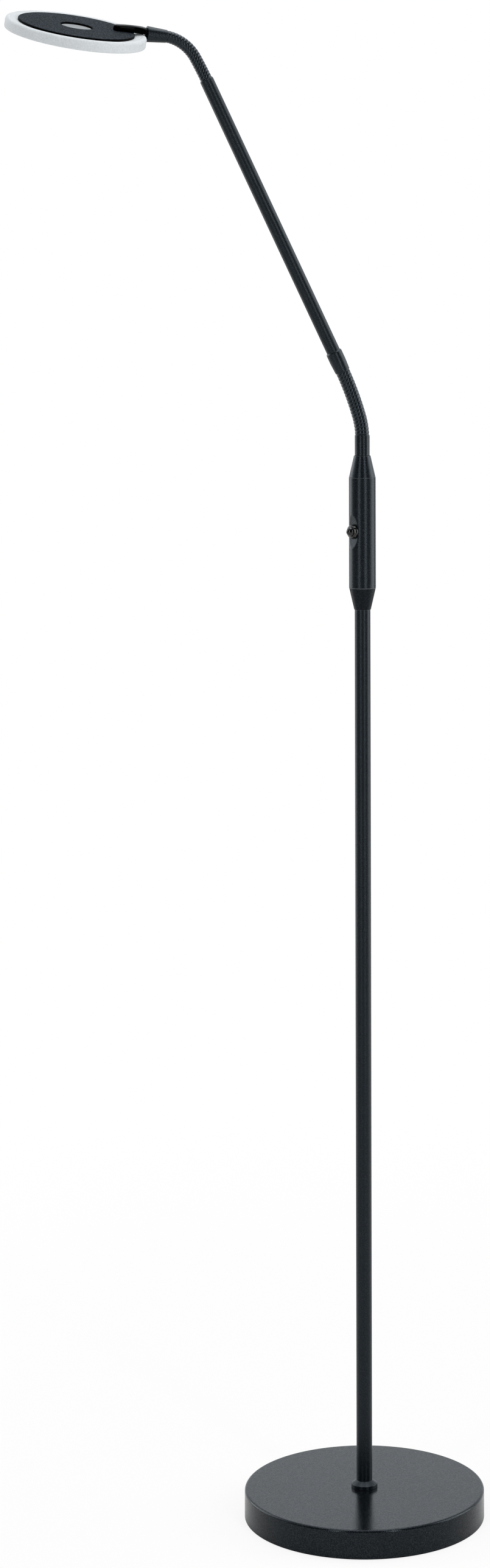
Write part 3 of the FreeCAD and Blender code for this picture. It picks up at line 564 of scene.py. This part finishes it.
def strap():
    """The glossy strap from the ferrule over the head's rim, with a round tip.

    At the distance x the section is |y / w|^n + |(z - m) / h|^n = 1. The half width w narrows
    from the root to the strap's and ends in a half circle. The top follows a parabola through
    the root, the crown and the tip, the underside rises from the flange to the cover, and the
    exponent n grows from a circle's 2 to that of a softened rectangle."""
    tip = bracket_reach - bracket_half_width
    x = np.concatenate([
        np.linspace(0, 1.2 * bracket_flange, 7),
        np.linspace(2 * bracket_flange, bracket_taper_end, 26),
        np.linspace(bracket_taper_end, tip, 16)[1:],
        tip + bracket_half_width * np.sin(np.linspace(0, np.pi / 2, 18))[1:],
    ])
    half = bracket_root_radius + (bracket_half_width - bracket_root_radius) * smooth(
        x, 0, bracket_taper_end)
    past = np.clip((x - tip) / bracket_half_width, 0, 1)
    width = half * np.sqrt(1 - past ** 2)
    crown = np.polyfit([0, bracket_taper_end, bracket_reach],
                       [bracket_root_top, bracket_crown_top, bracket_tip_top], 2)
    edge = 0.0009 * (1 - np.sqrt(1 - past ** 8))
    top = np.polyval(crown, x) - edge
    risen = smooth(x, 0.7 * bracket_flange, 1.7 * bracket_flange)
    under = edge - bracket_root_radius * (1 - risen)
    middle = 0.5 * (top + under)
    height = 0.5 * (top - under)
    power = 2 + 3 * smooth(x, 0, 0.006)
    a = np.linspace(0, 2 * np.pi, 96, endpoint=False)
    c, s = np.cos(a), np.sin(a)
    share = (2 / power)[:, None]
    y = width[:, None] * np.sign(c) * np.abs(c) ** share
    z = middle[:, None] + height[:, None] * np.sign(s) * np.abs(s) ** share
    grid = np.stack([x[:, None] + 0 * a, y, z], axis=-1)
    root = np.broadcast_to([0, 0, middle[0]], grid[:1].shape)
    end = np.broadcast_to([x[-1], 0, middle[-1]], grid[:1].shape)
    return surface("strap", np.vstack([root, grid, end]), head_place, crease=40)


def tip_cap():
    """The domed cap of the strap's screw. Over its radius r the top is h (1 - 0.85 (r / R)^4)."""
    foot = bracket_tip_top - 0.0012
    rim = bracket_tip_top
    share = np.linspace(0.97, 0, 16)
    dome = np.stack([cap_radius * share,
                     rim + cap_height * (0.15 + 0.85 * (1 - share ** 4))], axis=1)
    wall = np.array([(0, foot), (cap_radius, foot), (cap_radius, rim)])
    place = head_place @ Matrix.Translation((bracket_reach - bracket_half_width, 0, 0))
    return turned("tip_cap", np.vstack([wall, dome]), place, sectors=96)


def head_disc():
    """The flat black disc of the head, with its middle hole."""
    return turned("head_disc", rounded([
        (cover_hole_radius + shade_band_width, -cover_thickness, 0),
        (cover_radius - shade_band_width, -cover_thickness, 0),
        (cover_radius - shade_band_width, rim_top - 0.0001, 0),
        (cover_radius - cover_edge, 0, 0.0002),
        (cover_hole_radius + cover_edge, 0, 0.0002),
        (cover_hole_radius + shade_band_width, rim_top - 0.0001, 0),
    ]), disc_place, sectors=224)


def shade_band(name, wall, inward):
    """A deep black band of painted shade on one of the disc's two round walls, which lie in shade.
    inward is the side of its body: -1 for the outer wall and 1 for the hole's."""
    return turned(name, rounded([
        (wall + inward * shade_band_width, -cover_thickness, 0),
        (wall, -cover_thickness, 0.0001),
        (wall, rim_top, 0.0002),
        (wall + inward * shade_band_width, rim_top, 0),
    ]), disc_place, sectors=224)


def light_dish():
    """The frosted dish round and under the disc, with the boss that shows in the disc's hole."""
    lip_inner = dish_radius - dish_top_edge - dish_lip_width
    ledge = cover_radius - dish_ledge
    floor = dish_floor - dish_depth
    boss = cover_hole_radius - boss_gap
    return turned("light_dish", rounded([
        (0, -dish_depth, 0),
        (dish_radius, -dish_depth, dish_bottom_edge),
        (dish_radius, -dish_lip_drop, dish_top_edge),
        (lip_inner, -dish_lip_drop, 0.0003),
        (cover_radius + dish_rim_gap, -cover_thickness, 0.0002),
        (ledge, -cover_thickness, 0),
        (ledge, floor, 0),
        (boss, floor, 0),
        (boss, -boss_drop, 0.0004),
        (0, -boss_drop, 0),
    ], steps=10), disc_place, sectors=224)


# Materials

class Socket:
    """An output of a material's node. Arithmetic on it adds Math nodes."""

    def __init__(self, output):
        self.output = output

    def maths(self, operation, first, second):
        """A Math node on two values."""
        tree = self.output.id_data
        return add_node(tree, "Math", {"operation": operation}, {0: first, 1: second})

    def __add__(self, other):
        return self.maths("ADD", self, other)

    __radd__ = __add__

    def __sub__(self, other):
        return self.maths("SUBTRACT", self, other)

    def __rsub__(self, other):
        return self.maths("SUBTRACT", other, self)

    def __mul__(self, other):
        return self.maths("MULTIPLY", self, other)

    __rmul__ = __mul__


def add_node(tree, kind, settings=None, values=None, output=0):
    """A node of a kind. Its settings are made first, then its sockets are set or linked."""
    made = tree.nodes.new("ShaderNode" + kind)
    for key, value in (settings or {}).items():
        if key == "stops":
            for element, (position, shade) in zip(made.color_ramp.elements, value):
                element.position = position
                element.color = (shade, shade, shade, 1)
        else:
            setattr(made, key, value)
    for key, value in (values or {}).items():
        if isinstance(value, Socket):
            tree.links.new(value.output, made.inputs[key])
        else:
            made.inputs[key].default_value = value
    return Socket(made.outputs[output]) if made.outputs else None


def noise(tree, size, detail=2, rough=0.5):
    """Noise over the piece's own coordinates, with blobs of about a size in metres."""
    place = add_node(tree, "TexCoord", output="Object")
    values = {"Vector": place, "Scale": 1 / size, "Detail": detail, "Roughness": rough}
    return add_node(tree, "TexNoise", None, values)


def blended(tree, share, first, second):
    """The colour between two, by a share from 0 to 1."""
    values = {0: share, 6: (*first, 1), 7: (*second, 1)}
    return add_node(tree, "Mix", {"data_type": "RGBA"}, values, output=2)


def new_material(name):
    """An empty material and its node tree."""
    made = bpy.data.materials.new(name)
    made.use_nodes = True
    made.node_tree.nodes.clear()
    return made, made.node_tree


def shaded(made, **values):
    """Gives the material a Principled shader with these values and links."""
    tree = made.node_tree
    values = {key.replace("_", " "): value for key, value in values.items()}
    shader = add_node(tree, "BsdfPrincipled", None, values)
    add_node(tree, "OutputMaterial", None, {"Surface": shader})
    return made


def bumped(tree, height, depth, strength=1.0):
    """A normal from a height, whose full range is a depth in metres."""
    return add_node(tree, "Bump", None,
                    {"Height": height, "Distance": depth, "Strength": strength})


cool_gloss = (0.7, 0.87, 1.0, 1)    # the coats' gloss is slightly blue


def powder_coat(name, dark, light, roughness, gloss, sparkle=0.12, grain=0.0008, depth=0.0001):
    """Satin powder coat: a fine orange-peel grain, specks that are lighter and clearer than the
    rest, and soft clouds of slightly changing gloss. sparkle is the specks' share of clear coat."""
    made, tree = new_material(name)
    peel = noise(tree, grain, 3, 0.6)
    specks = add_node(tree, "ValToRGB", {"stops": [(0.42, 0), (0.66, 1)]},
                      {0: noise(tree, grain, 1)})
    clouds = noise(tree, 0.05, 2)
    colour = blended(tree, specks * 0.85 + clouds * 0.15, dark, light)
    shine = roughness - 0.07 + clouds * 0.08 + specks * 0.06
    return shaded(made, Base_Color=colour, Roughness=shine, Specular_IOR_Level=gloss,
                  Specular_Tint=cool_gloss, Coat_Weight=specks * sparkle,
                  Coat_Roughness=roughness, Normal=bumped(tree, peel, depth, 0.8))


def lacquer(name, dark, light, roughness, gloss):
    """Deep glossy lacquer with the faintest ripple and a few dull traces of wiping."""
    made, tree = new_material(name)
    ripple = noise(tree, 0.004, 2)
    traces = noise(tree, 0.0012, 4, 0.7)
    colour = blended(tree, traces, dark, light)
    return shaded(made, Base_Color=colour, Roughness=roughness + traces * 0.06,
                  Specular_IOR_Level=gloss, Normal=bumped(tree, ripple, 0.00002, 0.5))


def frosted_acrylic(name):
    """White acrylic with a fine frosted surface and a slightly cloudy body. Within the radius of
    the boss it is greyer: painted shade, for the boss that lies sunk in the disc's hole."""
    made, tree = new_material(name)
    frost = noise(tree, 0.0013, 2, 0.6)
    cloud = noise(tree, 0.012, 2)
    body = blended(tree, frost * 0.75 + cloud * 0.25, (0.43, 0.46, 0.48), (0.74, 0.77, 0.79))
    # painted shade: the greyer acrylic within the boss's radius, where the boss lies sunk in the disc's hole
    core = blended(tree, frost, (0.2, 0.22, 0.23), (0.34, 0.36, 0.37))
    from_middle = add_node(tree, "Attribute", {"attribute_name": "from_axis"}, output="Fac")
    edge = cover_hole_radius - boss_gap
    boss_shade = add_node(tree, "MapRange", {"interpolation_type": "SMOOTHSTEP"},
                      {"Value": from_middle, "From Min": edge - 0.0012, "From Max": edge - 0.0002,
                       "To Min": 1.0, "To Max": 0.0})
    colour = add_node(tree, "Mix", {"data_type": "RGBA"}, {0: boss_shade, 6: body, 7: core}, output=2)
    return shaded(made, Base_Color=colour, Roughness=0.5 + frost * 0.15,
                  Specular_IOR_Level=0.2, Normal=bumped(tree, frost, 0.00006, 0.8))


def plain_metal(name, dark, light, roughness, size, depth):
    """Bare or plated metal, blotchy at a size, with a rough or fine surface."""
    made, tree = new_material(name)
    blotch = noise(tree, size, 4, 0.65)
    fine = noise(tree, size * 0.15, 3, 0.6)
    colour = blended(tree, blotch, dark, light)
    return shaded(made, Base_Color=colour, Metallic=1.0, Roughness=roughness + fine * 0.15,
                  Normal=bumped(tree, fine, depth))


def moulded(name, dark, light, roughness, size=0.0012, depth=0.00003):
    """Moulded plastic, rubber or a board's mask: two close shades and a fine grain."""
    made, tree = new_material(name)
    grain = noise(tree, size, 3, 0.6)
    colour = blended(tree, grain, dark, light)
    return shaded(made, Base_Color=colour, Roughness=roughness + grain * 0.1,
                  Normal=bumped(tree, grain, depth, 0.7))


coat_dark = (0.001, 0.0018, 0.0026)
coat_light = (0.0062, 0.0082, 0.0105)
finishes = {name: kind(name, *values) for name, kind, values in (
    ("satin_black_coat", powder_coat, (coat_dark, coat_light, 0.32, 0.26)),
    ("satin_black_aluminium", powder_coat, (coat_dark, coat_light, 0.27, 0.28)),
    ("gloss_black_metal", lacquer, ((0.0002,) * 3, (0.0006,) * 3, 0.1, 0.018)),
    ("gloss_black_plastic", lacquer, ((0.0004,) * 3, (0.0012,) * 3, 0.05, 0.5)),
    ("frosted_acrylic", frosted_acrylic, ()),
    ("cast_iron", plain_metal, ((0.09,) * 3, (0.2,) * 3, 0.55, 0.006, 0.0004)),
    ("zinc_steel", plain_metal, ((0.5, 0.51, 0.52), (0.66, 0.67, 0.68), 0.28, 0.01, 0.00002)),
    ("black_rubber", moulded, ((0.012,) * 3, (0.03,) * 3, 0.7)),
    ("cable_sheath", moulded, ((0.015,) * 3, (0.03,) * 3, 0.45)),
    ("circuit_board", moulded, ((0.02, 0.11, 0.04), (0.03, 0.17, 0.07), 0.35)),
    ("white_board", moulded, ((0.7, 0.7, 0.69), (0.82, 0.82, 0.81), 0.4)),
    ("component_black", moulded, ((0.02,) * 3, (0.05,) * 3, 0.45)),
    ("led_lens", moulded, ((0.75, 0.6, 0.2), (0.88, 0.74, 0.3), 0.25)),
    ("switch_plastic", moulded, ((0.6, 0.6, 0.56), (0.72, 0.72, 0.68), 0.4)),
)}
base_coat = powder_coat("base_coat", coat_dark, (0.0085, 0.01, 0.012), 0.15, 0.19,
                        0.22, 0.001)
hose_coat = powder_coat("hose_coat", coat_dark, coat_light, 0.22, 0.36, depth=0.00003)
cone_coat = powder_coat("cone_coat", coat_dark, coat_light, 0.3, 0.12)
# painted highlight: a pale colour for the lines that stand for the light caught by the seams' rounded upper edges
painted_highlight = moulded("painted_highlight", (0.08, 0.09, 0.1), (0.15, 0.165, 0.18), 0.4)
disc_coat = powder_coat("disc_coat", (0.0015, 0.0025, 0.004), (0.045, 0.056, 0.068), 0.78, 0.05,
                        0.0, 0.0014)
# painted shade: near-black for the bands on the disc's walls, which lie in shade
painted_shade_black = lacquer("painted_shade_black", (0.0004,) * 3, (0.001,) * 3, 0.5, 0.02)


def painted(piece, slot, body=None, node=None, finish=None):
    """Gives a piece its finish, or else its record slot's finish, attaches it to its body and hides the
    construction's node.
    """
    piece.data.materials.clear()
    piece.data.materials.append(finish or finishes[slot])
    if body:
        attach(piece, body)
    if node:
        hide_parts(node)
    return piece


for part in frame["record"]["subparts"]:
    node = frame["nodes"][part["node"]]
    node.data.materials.clear()
    node.data.materials.append(finishes[part["material_slot"]])

coat, bare_coat = "satin_black_coat", "satin_black_aluminium"
painted(base_cover(), coat, "stand", "base_shell", base_coat)
painted(inlet_grommet(), "black_rubber", "stand", "cord_grommet")
painted(foot_collar(), coat, "stand", "base_collar")
painted(plain_tube("pole", pole_radius, pole_low.z, pole_high.z), coat, "stand", "pole_tube")
painted(cone("lower_cone", pole_high.z, grip_low.z, cone_small_radius, grip_radius), bare_coat,
        "stand", "handle_lower_cone", cone_coat)
painted(grip_tube(), bare_coat, "stand", "handle_tube")
painted(cone("upper_cone", grip_high.z, ferrule_foot, grip_radius, cone_small_radius), bare_coat,
        "stand", "handle_upper_cone")
# Thin pale lines of painted highlight along the upper edges of the pole, the cones and the grip
for name, radius, top in (("pole_line", pole_radius, pole_high.z),
                          ("lower_cone_line", grip_radius, grip_low.z),
                          ("grip_line", grip_radius, grip_high.z),
                          ("upper_cone_line", cone_small_radius, ferrule_foot)):
    painted(highlight_line(name, radius, top), bare_coat, "stand", None, painted_highlight)
painted(switch_bezel(), "gloss_black_plastic", "stand", "switch_bezel")
painted(button_cap(), "gloss_black_plastic", "button", "switch_button")
painted(neck_ferrule(), bare_coat, "stand", "lower_ferrule")
for neck in chains:
    for k, body in enumerate(chains[neck]):
        node = body if body in frame["nodes"] else None
        painted(hose_piece(neck, k), coat, body, node, hose_coat)
painted(arm_sleeve(), bare_coat, "arm", "arm_sleeve")
painted(arm_tube(), coat, "arm", "arm_tube")
painted(head_ferrule(), bare_coat, "head", "head_ferrule")
painted(strap(), "gloss_black_metal", "head", "head_bracket")
painted(tip_cap(), "gloss_black_metal", "head", "bracket_screw")
painted(head_disc(), bare_coat, "head", "head_cover", disc_coat)
# Bands of painted shade on the disc's outer wall and on its hole's wall
painted(shade_band("outer_shade_band", cover_radius, -1), bare_coat, "head", None, painted_shade_black)
painted(shade_band("hole_shade_band", cover_hole_radius, 1), bare_coat, "head", None, painted_shade_black)
painted(light_dish(), "frosted_acrylic", "head", "head_diffuser")


# Floor, light and camera

camera_azimuth = math.radians(17.974)
camera_forward = Vector((math.sin(camera_azimuth), math.cos(camera_azimuth), 0))
soft_level = 0.35           # of the world, for soft light
cool_surroundings = (0.93, 0.99, 1.04)
dim_level = 0.07            # of the world towards the camera, for reflections
dim_from, dim_to = math.cos(math.radians(95)), math.cos(math.radians(60))


def studio_floor():
    """A pale floor that keeps the lamp's soft shadow and fades to white with the distance."""
    size = 40.0
    mesh = bpy.data.meshes.new("floor")
    corners = [(-size, -size, 0), (size, -size, 0), (size, size, 0), (-size, size, 0)]
    mesh.from_pydata(corners, [], [(0, 1, 2, 3)])
    floor = added("floor", mesh)
    made, tree = new_material("floor")
    place = add_node(tree, "TexCoord", output="Object")
    distance = add_node(tree, "VectorMath", {"operation": "LENGTH"}, {0: place}, output="Value")
    fade = add_node(tree, "MapRange", {"interpolation_type": "SMOOTHSTEP"},
                    {"Value": distance, "From Min": 0.3, "From Max": 1.6,
                     "To Min": 0.85, "To Max": 1.0})
    seen = add_node(tree, "LightPath", output="Is Camera Ray")
    matt = add_node(tree, "BsdfDiffuse", None, {"Color": (0.86, 0.86, 0.86, 1)})
    white = add_node(tree, "Emission", None, {"Color": (1, 1, 1, 1), "Strength": 1.0})
    mixed = add_node(tree, "MixShader", None, {0: fade * seen, 1: matt, 2: white})
    add_node(tree, "OutputMaterial", None, {"Surface": mixed})
    mesh.materials.append(made)


def surroundings():
    """A white world for the camera. Reflections see it white behind the lamp and at its sides and
    dim towards the camera, and for soft light it is dimmer all round."""
    world = bpy.data.worlds.new("studio")
    world.use_nodes = True
    bpy.context.scene.world = world
    tree = world.node_tree
    tree.nodes.clear()
    seen = add_node(tree, "LightPath", output="Is Camera Ray")
    gloss = add_node(tree, "LightPath", output="Is Glossy Ray")
    through = add_node(tree, "LightPath", output="Is Transmission Ray")
    mirrored = gloss.maths("MAXIMUM", gloss, through)
    way = add_node(tree, "TexCoord", output="Generated")
    facing = add_node(tree, "VectorMath", {"operation": "DOT_PRODUCT"},
                      {0: way, 1: (-camera_forward.x, -camera_forward.y, 0)}, output="Value")
    wide = add_node(tree, "MapRange", {"interpolation_type": "SMOOTHSTEP"},
                    {"Value": facing, "From Min": dim_from, "From Max": dim_to,
                     "To Min": 1.0, "To Max": dim_level})
    level = seen + (1 - seen) * (mirrored * wide + (1 - mirrored) * soft_level)
    shade = blended(tree, mirrored, (1, 1, 1), cool_surroundings)
    back = add_node(tree, "Background", None, {"Color": shade, "Strength": level})
    add_node(tree, "OutputWorld", None, {"Surface": back})


def softbox(name, bearing, distance, height, size, brightness):
    """A rectangular lamp that faces the lamp's middle. Its bearing in degrees is from the camera's
    side, to the right. Its power is its brightness, where white is 1, times its area and pi."""
    light = bpy.data.lights.new(name, "AREA")
    light.shape = "RECTANGLE"
    light.size, light.size_y = size
    light.energy = brightness * math.pi * size[0] * size[1]
    turn = Matrix.Rotation(math.radians(bearing), 3, "Z")
    place = turn @ (-distance * camera_forward) + Vector((0, 0, height))
    aim = Vector((0, 0, 0.8))
    made = added(name, light)
    made.location = place
    made.rotation_mode = "QUATERNION"
    made.rotation_quaternion = (aim - place).to_track_quat("-Z", "Y")


def camera():
    """A level camera with a slight roll, whose frame is shifted down and to the left."""
    distance = 3.292
    to_right = 0.0142
    height = 1.2139
    roll = math.radians(0.123)
    focal_pixels = 5622.5
    axis_column = 570.1
    axis_row = 415.6
    frame_width, frame_height = 805.0, 2576.0
    right = Vector((camera_forward.y, -camera_forward.x, 0))
    lens = bpy.data.cameras.new("camera")
    lens.sensor_width = 36.0
    lens.lens = focal_pixels / frame_height * lens.sensor_width
    lens.shift_x = (frame_width / 2 - axis_column) / frame_height
    lens.shift_y = (axis_row - frame_height / 2) / frame_height
    made = added("camera", lens)
    made.location = Vector((0, 0, height)) - distance * camera_forward - to_right * right
    level = Euler((math.pi / 2, 0, -camera_azimuth)).to_matrix()
    made.rotation_euler = (level @ Matrix.Rotation(-roll, 3, "Z")).to_euler()
    bpy.context.scene.camera = made


studio_floor()
surroundings()
softbox("top_light", 180, 0.3, 3.6, (2.4, 2.4), 2.7)
softbox("left_strip", -28, 3.0, 1.6, (0.28, 3.2), 8.0)
softbox("right_strip", 28, 3.0, 1.6, (0.28, 3.2), 9.5)
softbox("left_panel", -118, 2.8, 1.3, (1.8, 2.6), 2.0)
softbox("right_panel", 98, 2.8, 1.3, (2.2, 2.6), 2.5)
camera()
bpy.context.scene.view_settings.view_transform = "Standard"
